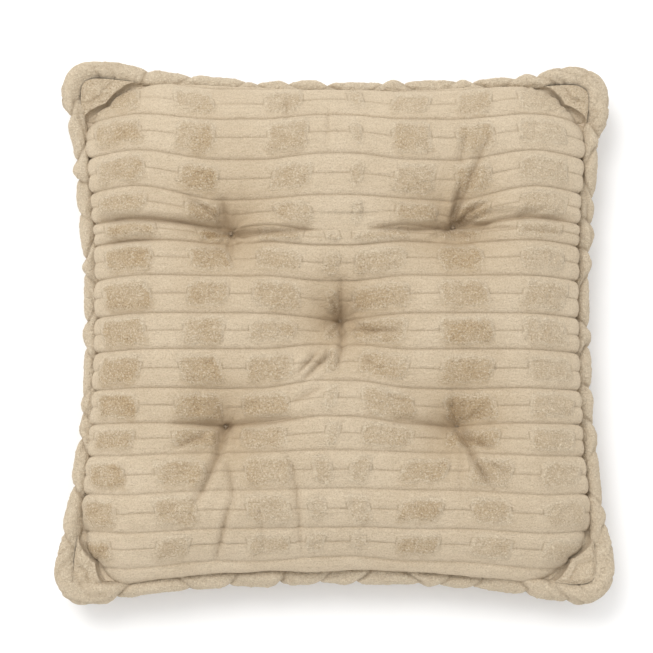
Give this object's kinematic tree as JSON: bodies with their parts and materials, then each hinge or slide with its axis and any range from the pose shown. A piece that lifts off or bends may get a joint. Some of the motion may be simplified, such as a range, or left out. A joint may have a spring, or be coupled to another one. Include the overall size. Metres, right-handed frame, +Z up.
{
  "type": "tufted chair seat pad",
  "caption": "Square plush seat pad with a crowned top, deep tufts tied through the fill, pulled-in sides and a fat corded edge roll.",
  "frame": {"origin": "middle of the flat underside, on the surface that the pad lies on", "axes": "+Z up through the pad, +Y towards the back edge of the seat, +X to the sitter's right when they stand at the front edge and look at the back"},
  "size_m": [0.45, 0.442, 0.0878],
  "materials": {
    "plush": "beige ribbed plush with raised fuzzy blocks along each row",
    "backing_fabric": "beige short-pile backing cloth",
    "filler_cord": "off-white fibre filler cord",
    "fibre_fill": "off-white polyester fibre",
    "thread": "beige twisted thread",
    "label_ribbon": "blank white satin ribbon"
  },
  "bodies": {
    "root": {"top_cover": "plush", "bottom_cover": "backing_fabric", "edge_roll_sleeve": "plush", "edge_roll_cord": "filler_cord", "upper_batting": "fibre_fill", "core_pad": "fibre_fill", "lower_batting": "fibre_fill", "tuft_twine_centre": "thread", "tuft_twine_rear_left": "thread", "tuft_twine_rear_right": "thread", "tuft_twine_front_left": "thread", "tuft_twine_front_right": "thread", "perimeter_seam": "thread", "closing_stitches": "thread", "care_label": "label_ribbon"}
  },
  "joints": []
}
